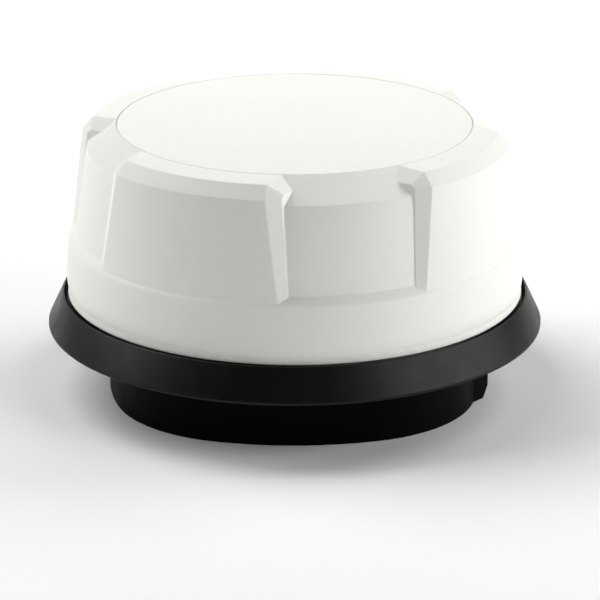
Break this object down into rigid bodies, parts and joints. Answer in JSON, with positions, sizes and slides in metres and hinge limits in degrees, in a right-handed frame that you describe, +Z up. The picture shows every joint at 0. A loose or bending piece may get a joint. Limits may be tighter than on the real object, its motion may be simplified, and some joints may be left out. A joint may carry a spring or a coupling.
{
  "type": "gnss receiver",
  "caption": "Round pole-mount satellite receiver: lugged white radome over a flared rubber bumper ring and a black rounded-square base with a threaded pole socket.",
  "frame": {"origin": "centre of the flat underside of the base, on the pole thread's axis", "axes": "+Z up along the pole axis, -Y the front, +X the side with the data port, +Y the side with the power button"},
  "size_m": [0.15, 0.15, 0.0817],
  "materials": {
    "radome_white": "fine moulded grain, matte",
    "disc_white": "very fine grain, matte",
    "ring_rubber": "satin moulded rubber",
    "base_black": "fine texture, matte",
    "door_black": "fine texture, matte",
    "cast_alloy": "sand-cast and machined",
    "seal_silicone": "soft silicone",
    "screw_steel": "turned stainless",
    "brass_part": "turned brass",
    "pressed_steel": "pressed sheet",
    "bay_plastic": "moulded, matte",
    "pack_shell": "smooth moulded shell",
    "gold_contact": "gold plated",
    "lead_red": "soft wire insulation",
    "lock_orange": "moulded, matte",
    "button_grey": "soft-touch rubber",
    "switch_black": "moulded, matte",
    "circuit_board": "solder mask over glass laminate",
    "led_chip": "small moulded lens",
    "light_pipe": "clear moulded rod",
    "flex_film": "polyimide film",
    "cover_rubber": "soft moulded rubber",
    "shield_tin": "tinned pressed can",
    "chip_black": "moulded package",
    "plate_alloy": "brushed sheet",
    "patch_ceramic": "sintered, matte",
    "silver_film": "fired silver film",
    "cable_black": "cable jacket",
    "membrane_white": "porous film"
  },
  "bodies": {
    "receiver": {"radome": "radome_white", "top_disc": "disc_white", "bumper_ring": "ring_rubber", "base_housing": "base_black", "chassis_plate": "cast_alloy", "radome_seal": "seal_silicone", "base_gasket": "seal_silicone", "housing_screws": "screw_steel", "pole_insert": "brass_part", "insert_clamp": "pressed_steel", "clamp_screws": "screw_steel", "battery_bay": "bay_plastic", "battery_pack": "pack_shell", "battery_contacts": "gold_contact", "battery_leads": "lead_red", "door_hinge_pins": "screw_steel", "button_boot": "seal_silicone", "tact_switch": "switch_black", "button_board": "circuit_board", "status_leds": "led_chip", "light_pipes": "light_pipe", "button_flex": "flex_film", "port_cover_pin": "screw_steel", "usb_connector": "shield_tin", "usb_tongue": "switch_black", "io_board": "circuit_board", "power_board": "circuit_board", "power_chips": "chip_black", "main_board": "circuit_board", "gnss_module": "shield_tin", "radio_module": "shield_tin", "cellular_module": "shield_tin", "bluetooth_module": "shield_tin", "tilt_sensor": "chip_black", "board_chips": "chip_black", "board_standoffs": "brass_part", "board_screws": "screw_steel", "antenna_posts": "brass_part", "ground_plate": "plate_alloy", "antenna_board": "circuit_board", "antenna_screws": "screw_steel", "lower_patch": "patch_ceramic", "upper_patch": "patch_ceramic", "patch_electrodes": "silver_film", "feed_pins": "gold_contact", "lna_shield": "shield_tin", "coax_jumper": "cable_black", "coax_sockets": "gold_contact", "vent_plug": "switch_black", "vent_membrane": "membrane_white", "buzzer": "switch_black"},
    "battery_door": {"battery_door": "door_black", "door_seal": "seal_silicone", "lock_guide": "pressed_steel"},
    "lock": {"lock_slider": "lock_orange"},
    "power_button": {"power_button": "button_grey"},
    "port_cover": {"port_cover": "cover_rubber"}
  },
  "joints": [
    {"name": "battery_door_hinge", "type": "hinge", "parent": "receiver", "child": "battery_door", "pos_m": [0, -0.0504, 0.0022], "axis": [-1, 0, 0], "range_deg": [0, 100]},
    {"name": "lock_slide", "type": "slide", "parent": "battery_door", "child": "lock", "axis": [0, 1, 0], "range_m": [0, 0.0026]},
    {"name": "power_button_press", "type": "slide", "parent": "receiver", "child": "power_button", "axis": [0, -1, 0], "range_m": [0, 0.0008], "stiffness_N_per_m": 1500},
    {"name": "port_cover_hinge", "type": "hinge", "parent": "receiver", "child": "port_cover", "pos_m": [0.0577, 0, 0.0058], "axis": [0, 1, 0], "range_deg": [0, 100]}
  ]
}
